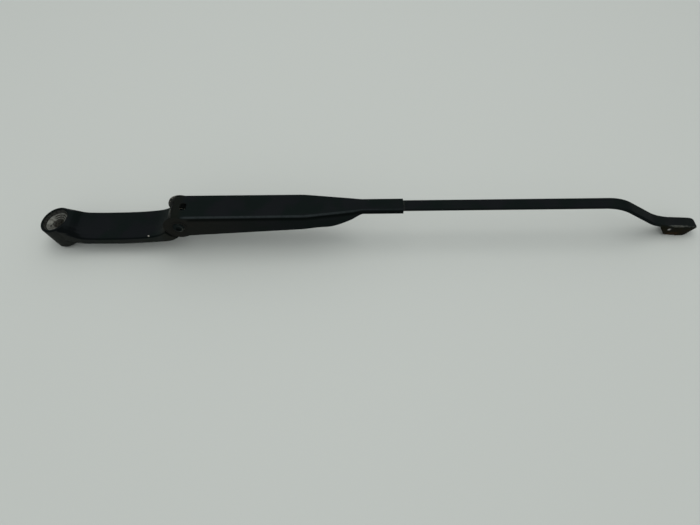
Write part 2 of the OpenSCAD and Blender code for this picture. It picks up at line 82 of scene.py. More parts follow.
# Places and sizes that the frame gives, in millimetres
JOINTS = {joint["name"]: in_millimetres(joint["pos_m"]) for joint in frame["joints"]}
MOUNTS = {mount["name"]: mount for mount in frame["record"]["mounts"]}
HINGE = JOINTS["arm_lift"]
HOOK = JOINTS["link_swing"]
CROSS_PIN = in_millimetres(MOUNTS["blade_hook"]["pos_m"])
SPINDLE_AXIS = MOUNTS["spindle_bore"]["axis"]
BOSS_LEAN = math.atan2(SPINDLE_AXIS[0], -SPINDLE_AXIS[2])
LAND_R = MOUNTS["spindle_bore"]["dims"]["r_mm"]
SLEEVE_END, EAR_FACE, RETAINER_TOP = in_millimetres(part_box("retainer")[1])

# Sizes of the boss and its recess in millimetres, as the part's source has them
RECESS_FLOOR = 5.0
RIM_TOP = 10.3
RECESS_R = 10.4
MOUTH_R = 11.0
SEAT_R = 6.0
DISH_RISE = 2.2
BLEND_R = 12.4
# Radians of the turned floor's tool marks for a millimetre of radius
TOOL_MARKS = 7.5
# Dark notches at the bore's edge
NOTCHES = ((-5.9, -0.3, 3.95), (-6.8, -2.8, 4.35), (-5.2, 1.6, 4.1))

# Sizes of the retainer and the rivet
EAR_CENTRE = HINGE + (-0.9, 0.0, -1.3)
RETAINER_HW = 12.8
SHEET = 1.2
HOOD_END = math.radians(22)
# Where a highlight is painted across the neck's end
END_HIGHLIGHT_X = 93.9
WASHER_T = 1.0
PIN_R = 3.0
RIVET_R = 4.8

# Sizes of the spring and its link
TAB = np.array([211.8, 0.0, 12.8367])
LINK_LEN = 27.0
COIL_R = 3.8
WIRE_D = 1.6
TURNS = 27

# The channel at the tip: where it starts, its heel, its toe and its nose
CHANNEL_X = 516.0
HEEL_X = 527.0
TOE_X = 539.0
NOSE_X = 550.0

# Colours of wear and dirt that every piece shares
DUST = (0.30, 0.29, 0.26)
WORN_PAINT = (0.045, 0.044, 0.042)
FLECK = (0.30, 0.28, 0.25)
CHIP = (0.30, 0.285, 0.25)
PALE_RUST = (0.30, 0.14, 0.06)
METAL_STAIN = (0.10, 0.085, 0.065)
STEEL_GRIME = (0.035, 0.030, 0.024)
NYLON_DIRT = (0.05, 0.045, 0.035)
CAST_STAIN = (0.075, 0.066, 0.050)
# Dark notches by the bore, and the painted reflection bands of the turned floor
NOTCH_AND_PAINTED_BAND = (0.018, 0.016, 0.013)

# The stage in metres
FLOOR_X = (-3.0, 3.5)
FLOOR_Y = (-3.0, 3.0)
LAMP_PLACE = (0.2, 0.35, 1.4)
LAMP_AIM = (0.25, 0.0, 0.0)
LAMP_SIZE = 1.0
BACKDROP = (0.72, 0.74, 0.72)


# Sizes and colours that a user may change

class PaintLook(bpy.types.PropertyGroup):
    colour: bpy.props.FloatVectorProperty(
        name="Paint", description="Colour of the black paint", subtype="COLOR", size=3,
        min=0, max=1, default=(0.0062, 0.0092, 0.0086))
    faded: bpy.props.FloatVectorProperty(
        name="Faded paint", description="Colour of the paint's faded patches", subtype="COLOR",
        size=3, min=0, max=1, default=(0.0082, 0.0094, 0.0104))
    roughness: bpy.props.FloatProperty(
        name="Roughness", description="How matt the paint is", min=0, max=1,
        default=0.36, subtype="FACTOR")
    dust: bpy.props.FloatProperty(
        name="Dust", description="How much pale dust lies on the paint", min=0, max=1,
        default=0.25, subtype="FACTOR")
    grain: bpy.props.FloatProperty(
        name="Grain", description="Size of the paint's fine unevenness, in millimetres",
        min=0.1, max=3, default=0.7)


class MetalLook(bpy.types.PropertyGroup):
    bare: bpy.props.FloatVectorProperty(
        name="Bare casting", description="Colour of the bare metal in the nut recess",
        subtype="COLOR", size=3, min=0, max=1, default=(0.32, 0.325, 0.285))
    steel: bpy.props.FloatVectorProperty(
        name="Steel", description="Colour of the plain steel parts", subtype="COLOR", size=3,
        min=0, max=1, default=(0.36, 0.35, 0.33))
    rust: bpy.props.FloatVectorProperty(
        name="Rust", description="Colour of the rust", subtype="COLOR", size=3,
        min=0, max=1, default=(0.13, 0.045, 0.018))
    plastic: bpy.props.FloatVectorProperty(
        name="Bushes", description="Colour of the plastic bushes", subtype="COLOR", size=3,
        min=0, max=1, default=(0.55, 0.51, 0.40))


class SkinSizes(bpy.types.PropertyGroup):
    cast_voxel: bpy.props.FloatProperty(
        name="Casting mesh", description="Mesh size of the casting's skin", min=0.0002,
        max=0.002, default=0.00045, unit="LENGTH", precision=5)
    cast_soften: bpy.props.IntProperty(
        name="Casting softness", description="Rounds of smoothing on the casting's edges",
        min=0, max=20, default=6)
    edge_round: bpy.props.FloatProperty(
        name="Edge rounding", description="How far the pressed parts' edges are rounded",
        min=0, max=0.001, default=0.00025, unit="LENGTH", precision=5)
    smooth_angle: bpy.props.FloatProperty(
        name="Smooth angle", description="Edges flatter than this are shaded smooth",
        min=0, max=math.pi, default=math.radians(38), subtype="ANGLE")


class StageSettings(bpy.types.PropertyGroup):
    floor: bpy.props.FloatVectorProperty(
        name="Floor", description="Colour of the floor", subtype="COLOR", size=3,
        min=0, max=1, default=(0.56, 0.58, 0.54))
    ambient: bpy.props.FloatProperty(
        name="Ambient", description="Light from all round", min=0, max=4, default=0.8)
    room: bpy.props.FloatProperty(
        name="Room", description="Brightness of the room that the paint mirrors",
        min=0, max=4, default=0.12)
    overhead: bpy.props.FloatProperty(
        name="Overhead lamp", description="Power of the lamp above", unit="POWER",
        min=0, max=100, default=3.9)
    lens: bpy.props.FloatProperty(
        name="Lens", description="Focal length of the camera", unit="CAMERA",
        min=10, max=200, default=27.0)
    camera_place: bpy.props.FloatVectorProperty(
        name="Camera", description="Where the camera stands", unit="LENGTH", size=3,
        default=(0.2478, -0.2876, 0.3518))
    camera_tilt: bpy.props.FloatProperty(
        name="Tilt", description="Turn of the camera up from straight down",
        subtype="ANGLE", default=math.radians(35))
    camera_roll: bpy.props.FloatProperty(
        name="Roll", description="Turn of the camera about its line of sight",
        subtype="ANGLE", default=math.radians(-0.65))


# Shader helpers

def put(tree, socket, value):
    """Links a socket to an input, or sets the input's own value."""
    if isinstance(value, bpy.types.NodeSocket):
        tree.links.new(value, socket)
    elif value is not None:
        if socket.type == "RGBA" and len(value) == 3:
            value = (*value, 1.0)
        socket.default_value = value


def shader(tree, kind, inputs, out=0, **settings):
    """Adds a shader node with named or numbered inputs and gives one of its outputs."""
    node = tree.nodes.new("ShaderNode" + kind)
    for key, value in settings.items():
        setattr(node, key, value)
    for key, value in inputs.items():
        put(tree, node.inputs[key], value)
    return node.outputs[out]


def maths(tree, operation, a, b=None):
    """One step of arithmetic on one or two values."""
    return shader(tree, "Math", {0: a, 1: b}, operation=operation)


def added(tree, a, b):
    return maths(tree, "ADD", a, b)


def absolute(tree, value):
    return maths(tree, "ABSOLUTE", value)


def vectors(tree, operation, a, b=None, out="Vector"):
    """One step of arithmetic on one or two vectors."""
    return shader(tree, "VectorMath", {0: a, 1: b}, out=out, operation=operation)


def ramp(tree, value, start, end, low=0.0, high=1.0):
    """Rises smoothly from low to high while the value goes from start to end."""
    return shader(tree, "MapRange", {"Value": value, "From Min": start, "From Max": end,
                                     "To Min": low, "To Max": high},
                  interpolation_type="SMOOTHSTEP")


def tint(tree, share, low, high):
    """A colour that goes from low to high with the share."""
    return shader(tree, "Mix", {0: share, 6: low, 7: high}, out=2, data_type="RGBA")


def noise(tree, place, scale, detail=2.0, roughness=0.5):
    """Noise about 0.5, with scale patches to a unit of the place."""
    return shader(tree, "TexNoise", {"Vector": place, "Scale": scale, "Detail": detail,
                                     "Roughness": roughness})


def scaled(tree, place, factors):
    return vectors(tree, "MULTIPLY", place, factors)


def in_mm(tree):
    """The place on the object, in millimetres."""
    place = shader(tree, "TexCoord", {}, out="Object")
    return scaled(tree, place, (1 / MM, 1 / MM, 1 / MM))


def spot(tree, place, centre, radius, soft):
    """1 inside a ball about the centre, falling to 0 over the soft edge."""
    away = vectors(tree, "DISTANCE", place, tuple(centre), "Value")
    return ramp(tree, away, radius + soft, radius)


def either(tree, *masks):
    """The greatest of the masks."""
    found = masks[0]
    for mask in masks[1:]:
        found = maths(tree, "MAXIMUM", found, mask)
    return found


def both(tree, *masks):
    """The product of masks or values."""
    found = masks[0]
    for mask in masks[1:]:
        found = maths(tree, "MULTIPLY", found, mask)
    return found


def part_of(tree, vector, axis):
    return shader(tree, "SeparateXYZ", {0: vector}, out=axis)


def from_axis(tree, place, centre):
    """Distance from a line along Y through the centre."""
    apart = vectors(tree, "SUBTRACT", place, tuple(centre))
    return vectors(tree, "LENGTH", scaled(tree, apart, (1.0, 0.0, 1.0)), out="Value")


def about_spindle(tree, place):
    """The place turned upright about the origin by the boss's lean, and its distance from
    the spindle's axis."""
    upright = shader(tree, "Mapping", {"Vector": place, "Rotation": (0.0, BOSS_LEAN, 0.0)})
    flat = scaled(tree, upright, (1.0, 1.0, 0.0))
    return upright, vectors(tree, "LENGTH", flat, out="Value")


def readings(tree, place, patch):
    """What the rows of a mask can read: x, y and z of the place, side for the distance from
    the middle plane, up and across for how the surface faces, and patch for the noise."""
    normal = shader(tree, "NewGeometry", {}, out="Normal")
    found = {axis.lower(): part_of(tree, place, axis) for axis in "XYZ"}
    found["side"] = absolute(tree, found["y"])
    found["up"] = part_of(tree, normal, "Z")
    found["across"] = absolute(tree, part_of(tree, normal, "Y"))
    found["patch"] = patch
    return found


def masked(tree, reads, rows):
    """The product of one smooth ramp for each row. A row names what it reads, the values
    where the ramp starts and ends, and the shares there, 0 and 1 where they are left out."""
    return both(tree, *(ramp(tree, reads[what], *span) for what, *span in rows))


# Where the surface turns from facing up to facing sideways
ON_BEND = (("across", 0.3, 0.55), ("across", 0.98, 0.85), ("up", 0.15, 0.4))
# Where the surface is upright or faces down
UPRIGHT = ("up", 0.35, 0.1)


def new_material(name):
    """An empty material and its node tree."""
    material = bpy.data.materials.new(name)
    material.use_nodes = True
    tree = material.node_tree
    tree.nodes.clear()
    return material, tree


def surface(tree, **inputs):
    """A Principled surface joined to the material's output."""
    names = {"colour": "Base Color", "metallic": "Metallic", "roughness": "Roughness",
             "normal": "Normal", "specular": "Specular IOR Level",
             "specular_tint": "Specular Tint", "subsurface": "Subsurface Weight"}
    made = shader(tree, "BsdfPrincipled", {names[k]: v for k, v in inputs.items()})
    out = tree.nodes.new("ShaderNodeOutputMaterial")
    tree.links.new(made, out.inputs["Surface"])


def bumps(tree, height, strength, depth, under=None):
    """Turns a height in 0 to 1 into a bumped normal; depth is in metres."""
    return shader(tree, "Bump", {"Height": height, "Strength": strength, "Distance": depth,
                                 "Normal": under})


# Finishes

def black_paint(name, scene, chips=(), bare=(), rust=(), shades=(), edge_share=0.0,
                more=None):
    """Matt black paint with dust, worn edges, flecks and chips.

    chips are (x, y, z, radius) in millimetres. bare and rust list the masks where metal and
    rust show, some bare strips being painted highlights, and shades are (mask, colour) for
    worn, dusty and dirty places of the paint and for painted highlights and shade, each
    mask as rows for masked(). more is a function that adds readings of the piece's own.
    """
    look, metal = scene.wiper_paint, scene.wiper_metal
    material, tree = new_material(name)
    place = in_mm(tree)
    broad = noise(tree, place, 0.035, 3.0, 0.55)
    patch = noise(tree, place, 0.3, 3.0, 0.6)
    fine = noise(tree, place, 1.0 / look.grain)
    wiped = noise(tree, scaled(tree, place, (0.05, 0.6, 0.6)), 1.0, 4.0, 0.65)
    reads = readings(tree, place, patch)
    if more is not None:
        reads.update(more(tree, place, reads))

    level = ramp(tree, reads["up"], 0.2, 0.9)
    dusty = both(tree, ramp(tree, broad, 0.35, 0.75), ramp(tree, wiped, 0.35, 0.7),
                 ramp(tree, level, 0.0, 1.0, 0.35, 1.0), look.dust)
    faded = ramp(tree, noise(tree, place, 0.045), 0.38, 0.62)
    colour = tint(tree, faded, tuple(look.colour), tuple(look.faded))
    colour = tint(tree, both(tree, dusty, 0.02), colour, DUST)
    if edge_share > 0:
        # Pointiness marks the outer edges of a fine mesh
        sharp = shader(tree, "NewGeometry", {}, out="Pointiness")
        edge = both(tree, ramp(tree, sharp, 0.53, 0.6), ramp(tree, patch, 0.48, 0.66),
                    edge_share)
        colour = tint(tree, edge, colour, WORN_PAINT)
    flecks = shader(tree, "TexVoronoi", {"Vector": place, "Scale": 0.16}, out="Distance")
    flecks = both(tree, ramp(tree, flecks, 0.05, 0.025), ramp(tree, broad, 0.52, 0.56), 0.12)
    colour = tint(tree, flecks, colour, FLECK)
    for rows, shade_colour in shades:
        colour = tint(tree, masked(tree, reads, rows), colour, shade_colour)

    metallic = 0.0
    roughness = added(tree, look.roughness, both(tree, added(tree, patch, -0.5), 0.12))
    roughness = added(tree, roughness, both(tree, dusty, 0.35))
    if chips:
        # The place is pushed about by noise, so that the chips have ragged outlines
        push = shader(tree, "TexNoise", {"Vector": place, "Scale": 1.4}, out="Color")
        push = vectors(tree, "SUBTRACT", push, (0.5, 0.5, 0.5))
        ragged = vectors(tree, "ADD", place, scaled(tree, push, (1.6, 1.6, 1.6)))
        for *centre, radius in chips:
            chip = spot(tree, ragged, centre, radius, radius * 0.6)
            colour = tint(tree, chip, colour, CHIP)
    if rust:
        rusty = either(tree, *(masked(tree, reads, rows) for rows in rust))
        deep = ramp(tree, noise(tree, place, 1.6, 4.0, 0.7), 0.35, 0.65)
        colour = tint(tree, rusty, colour, tint(tree, deep, tuple(metal.rust), PALE_RUST))
        roughness = added(tree, roughness, both(tree, rusty, 0.4))
    if bare:
        shows = either(tree, *(masked(tree, reads, rows) for rows in bare))
        stain = ramp(tree, noise(tree, place, 0.55, 4.0, 0.65), 0.35, 0.7)
        colour = tint(tree, shows, colour, tint(tree, stain, tuple(metal.bare), METAL_STAIN))
        metallic = both(tree, shows, 0.75)
        roughness = shader(tree, "Mix", {0: shows, 2: roughness, 3: 0.5}, data_type="FLOAT")
    normal = bumps(tree, fine, 0.18, 0.00004)
    normal = bumps(tree, patch, 0.12, 0.0002, normal)
    surface(tree, colour=colour, metallic=metallic, roughness=roughness, specular=0.008,
            specular_tint=(0.8, 1.0, 0.9), normal=normal)
    return material


def steel(name, colour, metal, roughness=0.38, rust_share=0.25, grimy_from=None):
    """Plain steel with drawing marks, grime and a little rust. grimy_from is the distance
    from the cross pin's axis, in millimetres, beyond which grime covers the steel."""
    material, tree = new_material(name)
    place = in_mm(tree)
    marks = noise(tree, place, 2.0, 3.0, 0.6)
    grime = ramp(tree, noise(tree, place, 0.35, 4.0, 0.6), 0.4, 0.72)
    if grimy_from is not None:
        away = from_axis(tree, place, CROSS_PIN)
        grime = either(tree, grime, ramp(tree, away, grimy_from, grimy_from + 0.3, 0.0, 1.3))
    rusty = both(tree, ramp(tree, noise(tree, place, 0.8, 5.0, 0.7), 0.5, 0.66), rust_share)
    body = tint(tree, marks, tuple(colour), tuple(0.72 * c for c in colour))
    body = tint(tree, both(tree, grime, 0.7), body, STEEL_GRIME)
    body = tint(tree, rusty, body, tuple(metal.rust))
    rough = added(tree, roughness, both(tree, grime, 0.25))
    shine = maths(tree, "SUBTRACT", 1.0, either(tree, both(tree, grime, 0.6), rusty))
    surface(tree, colour=body, metallic=shine, roughness=rough,
            normal=bumps(tree, marks, 0.2, 0.00003))
    return material


def nylon(name, colour):
    """Natural plastic, greyed by wear dust."""
    material, tree = new_material(name)
    place = in_mm(tree)
    dirt_and_shade = ramp(tree, noise(tree, place, 0.5, 4.0, 0.6), 0.35, 0.75, 0.5, 0.9)
    body = tint(tree, dirt_and_shade, tuple(colour), NYLON_DIRT)
    surface(tree, colour=body, roughness=0.45, subsurface=0.08,
            normal=bumps(tree, noise(tree, place, 3.0), 0.15, 0.00002))
    return material


def turned_metal(name, metal):
    """Machined casting: fine rings round the spindle's axis, stained brown in patches."""
    material, tree = new_material(name)
    place = in_mm(tree)
    upright, radius = about_spindle(tree, place)
    rings = added(tree, both(tree, radius, TOOL_MARKS), both(tree, noise(tree, place, 0.25), 1.2))
    rings = ramp(tree, maths(tree, "SINE", rings), -1.0, 1.0)
    stain = ramp(tree, noise(tree, place, 0.33, 4.0, 0.65), 0.42, 0.62)
    body = tint(tree, rings, tuple(0.62 * c for c in metal.bare), tuple(metal.bare))
    body = tint(tree, both(tree, stain, 0.5), body, CAST_STAIN)
    # Painted reflection: dark bands as arcs on the side towards the neck, where turned metal
    # reflects in bands, and dark notches by the bore
    reflection_bands = ramp(tree, maths(tree, "SINE", both(tree, radius, 3.4)), 0.1, 0.7)
    neck_side = added(tree, part_of(tree, upright, "X"), part_of(tree, upright, "Y"))
    arcs = both(tree, reflection_bands, ramp(tree, neck_side, 0.0, 3.0), 0.95)
    notches = either(tree, *(spot(tree, place, centre, 0.7, 0.4) for centre in NOTCHES))
    body = tint(tree, either(tree, arcs, notches), body, NOTCH_AND_PAINTED_BAND)
    rough = ramp(tree, stain, 0.0, 1.0, 0.42, 0.7)
    surface(tree, colour=body, metallic=0.7, roughness=rough,
            normal=bumps(tree, rings, 0.35, 0.00006))
    return material


# Mesh helpers

# Corners nearer than this are one corner, in metres
JOIN_WITHIN = 2e-6


def new_piece(name, mesh, material, body, slot, *nodes):
    """Shows a mesh as a piece of the arm and hides the CAD nodes it stands for."""
    piece = bpy.data.objects.new(name, mesh)
    bpy.context.scene.collection.objects.link(piece)
    mesh.materials.clear()
    mesh.materials.append(material)
    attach(piece, body)
    if nodes:
        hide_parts(*nodes)


def give_finish(node, material):
    """Gives a CAD node, which keeps its own mesh, its finish."""
    slots = frame["nodes"][node].data.materials
    slots.clear()
    slots.append(material)


def corners_of(mesh):
    """The mesh's corners as an array, a row for each."""
    corners = np.empty(len(mesh.vertices) * 3, np.float32)
    mesh.vertices.foreach_get("co", corners)
    return corners.reshape(-1, 3)


def put_corners(mesh, corners):
    """Moves the mesh's corners to the rows of an array."""
    mesh.vertices.foreach_set("co", corners.astype(np.float32).ravel())


def leaned(points, angle):
    """The points turned about Y by the angle, so that X rises towards Z."""
    c, s = math.cos(angle), math.sin(angle)
    x, y, z = np.moveaxis(points, -1, 0)
    return np.stack([c * x - s * z, y, s * x + c * z], axis=-1)


def node_arrays(node):
    """Corners and triangles of a CAD node, with corners that lie together made one."""
    mesh = frame["nodes"][node].data
    mesh.calc_loop_triangles()
    triangles = np.empty(len(mesh.loop_triangles) * 3, np.int32)
    mesh.loop_triangles.foreach_get("vertices", triangles)
    corners = corners_of(mesh)
    keys = np.round(corners / JOIN_WITHIN).astype(np.int64)
    _, first, same = np.unique(keys, axis=0, return_index=True, return_inverse=True)
    triangles = same.reshape(-1)[triangles].reshape(-1, 3)
    a, b, c = triangles.T
    whole = (a != b) & (b != c) & (c != a)
    return corners[first], triangles[whole]


def joined_mesh(name, node):
    """The CAD node's surface as one joined mesh with flat areas made single faces."""
    corners, triangles = node_arrays(node)
    mesh = bpy.data.meshes.new(name)
    mesh.from_pydata(corners.tolist(), [], triangles.tolist())
    work = bmesh.new()
    work.from_mesh(mesh)
    bmesh.ops.remove_doubles(work, verts=work.verts, dist=1.5 * JOIN_WITHIN)
    bmesh.ops.dissolve_limit(work, angle_limit=math.radians(0.8), verts=work.verts,
                             edges=work.edges)
    work.to_mesh(mesh)
    work.free()
    return mesh


def add_mesh(mesh, other):
    """Puts another mesh's faces into the mesh."""
    work = bmesh.new()
    work.from_mesh(mesh)
    work.from_mesh(other)
    work.to_mesh(mesh)
    work.free()


def bevelled(mesh, width, angle=math.radians(35)):
    """The mesh with its edges above the angle rounded by arcs that start at the width
    from the edge, shaded smooth with flat faces kept flat."""
    name = mesh.name
    made = finished(mesh, [
        ("BEVEL", {"width": width, "segments": 3, "limit_method": "ANGLE",
                   "angle_limit": angle, "use_clamp_overlap": True}),
        ("WEIGHTED_NORMAL", {"keep_sharp": False, "weight": 80})])
    made.name = name
    return made


def shade(mesh, angle):
    """Smooth shading with sharp edges above the angle."""
    mesh.shade_smooth()
    mesh.set_sharp_from_angle(angle=angle)


def finished(mesh, modifiers):
    """The mesh after a list of modifiers, as (kind, settings)."""
    holder = bpy.data.objects.new("holder", mesh)
    bpy.context.scene.collection.objects.link(holder)
    for kind, settings in modifiers:
        modifier = holder.modifiers.new(kind.lower(), kind)
        for key, value in settings.items():
            setattr(modifier, key, value)
    graph = bpy.context.evaluated_depsgraph_get()
    made = bpy.data.meshes.new_from_object(holder.evaluated_get(graph))
    bpy.data.objects.remove(holder)
    return made


def smooth_step(values, start, end):
    """3 t^2 - 2 t^3 for t from 0 at the start to 1 at the end."""
    t = np.clip((values - start) / (end - start), 0, 1)
    return t * t * (3 - 2 * t)


def grid_mesh(name, points, round_it=False):
    """Quads over a grid of points in millimetres, shape (rows, columns, 3).

    round_it joins the last column to the first.
    """
    rows, columns = points.shape[:2]
    index = np.arange(rows * columns).reshape(rows, columns)
    right = np.roll(index, -1, axis=1)
    if not round_it:
        index, right = index[:, :-1], right[:, :-1]
    quads = np.stack([index[:-1], right[:-1], right[1:], index[1:]], axis=-1)
    mesh = bpy.data.meshes.new(name)
    mesh.from_pydata((points.reshape(-1, 3) * MM).tolist(), [], quads.reshape(-1, 4).tolist())
    return mesh


def close_up(mesh):
    """Joins doubles, fills the open ends and turns every face outwards."""
    work = bmesh.new()
    work.from_mesh(mesh)
    bmesh.ops.remove_doubles(work, verts=work.verts, dist=1e-6)
    open_edges = [edge for edge in work.edges if edge.is_boundary]
    bmesh.ops.holes_fill(work, edges=open_edges, sides=0)
    bmesh.ops.recalc_face_normals(work, faces=work.faces)
    work.to_mesh(mesh)
    work.free()
    return mesh


def turned(name, profile, place, axis_y, steps=72):
    """A turned shape: a profile of (radius, distance along the axis) spun about an axis
    that runs along Y (axis_y true) or along Z, through a place in millimetres."""
    angles = np.linspace(0, 2 * math.pi, steps, endpoint=False)
    radius, along = np.asarray(profile, float).T
    ring = np.stack([np.cos(angles), np.sin(angles)], axis=-1)
    points = np.empty((len(radius), steps, 3))
    points[..., 0] = radius[:, None] * ring[None, :, 0]
    points[..., 2 if axis_y else 1] = radius[:, None] * ring[None, :, 1]
    points[..., 1 if axis_y else 2] = along[:, None]
    points += np.asarray(place, float)
    return close_up(grid_mesh(name, points, round_it=True))


def wire_along(name, path, radius, sides=14):
    """A round wire along a path: each ring lies square to the path, and its turn is
    carried on from the ring before so that the wire doesn't twist."""
    tangents = np.gradient(path, axis=0)
    tangents /= np.linalg.norm(tangents, axis=1, keepdims=True)
    side = np.cross(tangents[0], (0.3, 0.2, 0.9))
    normals = []
    for tangent in tangents:
        side = side - tangent * side.dot(tangent)
        side = side / np.linalg.norm(side)
        normals.append(side)
    normals = np.array(normals)
    binormals = np.cross(tangents, normals)
    angles = np.linspace(0, 2 * math.pi, sides, endpoint=False)
    rings = (path[:, None] + radius * (normals[:, None] * np.cos(angles)[None, :, None]
                                       + binormals[:, None] * np.sin(angles)[None, :, None]))
    return close_up(grid_mesh(name, rings, round_it=True))


def resampled(path, spacing, soften):
    """The path at an even spacing, with its corners softened by averaging neighbours."""
    length = np.concatenate([[0], np.cumsum(np.linalg.norm(np.diff(path, axis=0), axis=1))])
    places = np.linspace(0, length[-1], int(length[-1] / spacing) + 1)
    fine = np.stack([np.interp(places, length, path[:, k]) for k in range(3)], axis=-1)
    for _ in range(soften):
        fine[1:-1] = (fine[:-2] + 2 * fine[1:-1] + fine[2:]) / 4
    return fine


def spring_path():
    """Middle line of the spring's wire: a hook through the link's eye, the coils as a
    helix about the line of pull, and a hook round the strip of the rod's tab."""
    pull = TAB - HOOK
    length = np.linalg.norm(pull)
    hook_gap, tail = 0.9, 5.0
    start, end = LINK_LEN + COIL_R + hook_gap, length - tail
    bend = np.radians(np.arange(300, 99, -5))
    first = np.stack([start - hook_gap + COIL_R * np.cos(bend), COIL_R * np.sin(bend),
                      0 * bend], axis=-1)
    share = np.linspace(0, 1, TURNS * 36)
    turn = np.radians(90 + share * (360 * TURNS - 180))
    coils = np.stack([start + (end - start) * share, COIL_R * np.sin(turn),
                      COIL_R * np.cos(turn)], axis=-1)
    bend = np.radians(np.arange(80, -101, -5))
    last = np.stack([length + COIL_R * np.cos(bend), 0 * bend, COIL_R * np.sin(bend)],
                    axis=-1)
    along = np.concatenate([first, coils, last])
    return leaned(along, math.atan2(pull[2], pull[0])) + HOOK


# Pieces

class WIPER_OT_head(bpy.types.Operator):
    """Skins the cast head and the machined floor of its nut recess"""
    bl_idname = "wiper.head"
    bl_label = "Head"

    def execute(self, context):
        scene = context.scene
        sizes, metal = scene.wiper_skin, scene.wiper_metal

        def about_boss(tree, place, reads):
            """Height and radius on the spindle's axis, the height with a ragged edge, and
            the distance aside from the line across the neck's end where a highlight is painted."""
            upright, radius = about_spindle(tree, place)
            high = part_of(tree, upright, "Z")
            bow = both(tree, maths(tree, "MINIMUM", reads["y"], 0.0), -0.36)
            aside = absolute(tree, added(tree, added(tree, reads["x"], bow), -END_HIGHLIGHT_X))
            return {"radius": radius, "high": high, "aside": aside,
                    "ragged": added(tree, high, both(tree, reads["patch"], 2.0))}

        recess = (("radius", MOUTH_R + 0.3, MOUTH_R + 0.1),
                  ("high", RECESS_FLOOR - 0.6, RECESS_FLOOR - 0.3),
                  ("ragged", RIM_TOP + 0.6, RIM_TOP - 0.4, 0.0, 0.12))
        seat = (("radius", SEAT_R + 0.4, SEAT_R + 0.1), ("high", -3.0, -4.5))
        bore = (("radius", LAND_R + 0.6, LAND_R + 0.3, 0.0, 0.55),)
        # Painted highlight: a strip of bare metal across the neck's end, under the hood's lip
        end_highlight = (("aside", 1.5, 0.8), ("y", -2.0, 11.0, 0.02, 0.30), ("z", 6.0, 8.0),
                      ("patch", 0.3, 0.6, 0.6, 1.0))
        # Lighter colour on the upright faces, most on the boss
        pale_upright = (UPRIGHT, ("x", 22.0, 8.0, 0.38, 0.5), ("patch", 0.2, 0.7, 0.5, 1.0))
        # Painted light: lighter where the neck rises to the hinge and turns to the light
        lit_end = (("x", 80.0, 92.0), ("patch", 0.3, 0.7, 0.3, 0.7))
        # Brownish dirt by the near ear
        olive_end = (("x", 86.0, 94.0), ("y", -3.0, -11.0, 0.0, 0.7))
        # Painted shade: a dark line along the bends between the top and the sides
        crease_shade = (("up", 0.3, 0.45), ("up", 0.85, 0.7, 0.0, 0.6))
        finish = black_paint("head_paint_worn", scene, chips=((78.2, -13.9, 3.6, 0.62),),
                             bare=(recess, seat, bore, end_highlight),
                             shades=((pale_upright, (0.034, 0.036, 0.030)),
                                     (lit_end, (0.018, 0.021, 0.020)),
                                     (olive_end, (0.0150, 0.0155, 0.0120)),
                                     (crease_shade, (0.0015, 0.0024, 0.0022))),
                             edge_share=0.5, more=about_boss)
        mesh = joined_mesh("head_skin", "head")
        add_mesh(mesh, self.blend())
        mesh = finished(mesh, [
            ("REMESH", {"mode": "VOXEL", "voxel_size": sizes.cast_voxel}),
            ("SMOOTH", {"factor": 0.5, "iterations": sizes.cast_soften})])
        mesh.name = "head_skin"
        mesh.shade_smooth()
        new_piece("head_skin", mesh, finish, "head", "head_paint", "head")
        self.floor(metal)
        return {"FINISHED"}

    def blend(self):
        """The cast blend from the boss's rim to the neck: a shell fanned about the rim's
        centre over the angle a, whose top falls from the rim by
        (0.72 d + 0.007 d^2) (1 + 2 sin^6 a) at the distance d, and ends inside the neck's
        sides."""
        fan, rows, columns = 66, 67, 16
        length, half_width, side_growth = 20.0, 12.6, 0.06
        flat, sunk, thick = 0.5, 0.4, 2.6
        angle = np.radians(np.linspace(-fan, fan, rows))[:, None]
        sine, cosine = np.abs(np.sin(angle)), np.cos(angle)
        sideways = np.maximum(sine, 0.1)
        top_x, top_z = -RIM_TOP * math.sin(BOSS_LEAN), RIM_TOP * math.cos(BOSS_LEAN)
        reach = np.minimum(length, (half_width + 0.4) / sideways)
        reach = np.minimum(reach, (half_width + side_growth * reach * cosine) / sideways)
        radius = BLEND_R + (reach - BLEND_R) * np.linspace(0, 1, columns)[None, :]
        out = np.maximum(radius - BLEND_R - flat, 0.0)
        fall = (0.72 * out + 0.007 * out ** 2) * (1 + 2 * sine ** 6)
        top = top_z + math.tan(BOSS_LEAN) * BLEND_R * cosine - sunk - fall
        radius = np.concatenate([radius, radius[:, ::-1]], axis=1)
        height = np.concatenate([top, top[:, ::-1] - thick], axis=1)
        points = np.stack([top_x + radius * cosine, radius * np.sin(angle), height], axis=-1)
        return close_up(grid_mesh("blend", points, round_it=True))

    def floor(self, metal):
        """The turned floor of the recess: a dish that rises evenly with the radius, with
        tool marks as a sine over the radius, laid on the casting and leaned with the boss."""
        lift, mark_height, under_depth = 0.05, 0.03, 0.2
        radius = np.linspace(LAND_R + 0.2, RECESS_R - 0.05, 110)
        rise = DISH_RISE * (radius - LAND_R) / (RECESS_R - LAND_R)
        marks = rise + lift + mark_height * np.sin(radius * TOOL_MARKS)
        under = (radius[0], rise[0] - under_depth)
        profile = [under, *zip(radius, marks), (radius[-1], rise[-1] - under_depth), under]
        mesh = turned("recess_floor", profile, (0, 0, RECESS_FLOOR), False, 128)
        put_corners(mesh, leaned(corners_of(mesh), BOSS_LEAN))
        shade(mesh, math.radians(60))
        new_piece("recess_floor", mesh, turned_metal("turned_casting", metal), "head",
                  "head_paint")


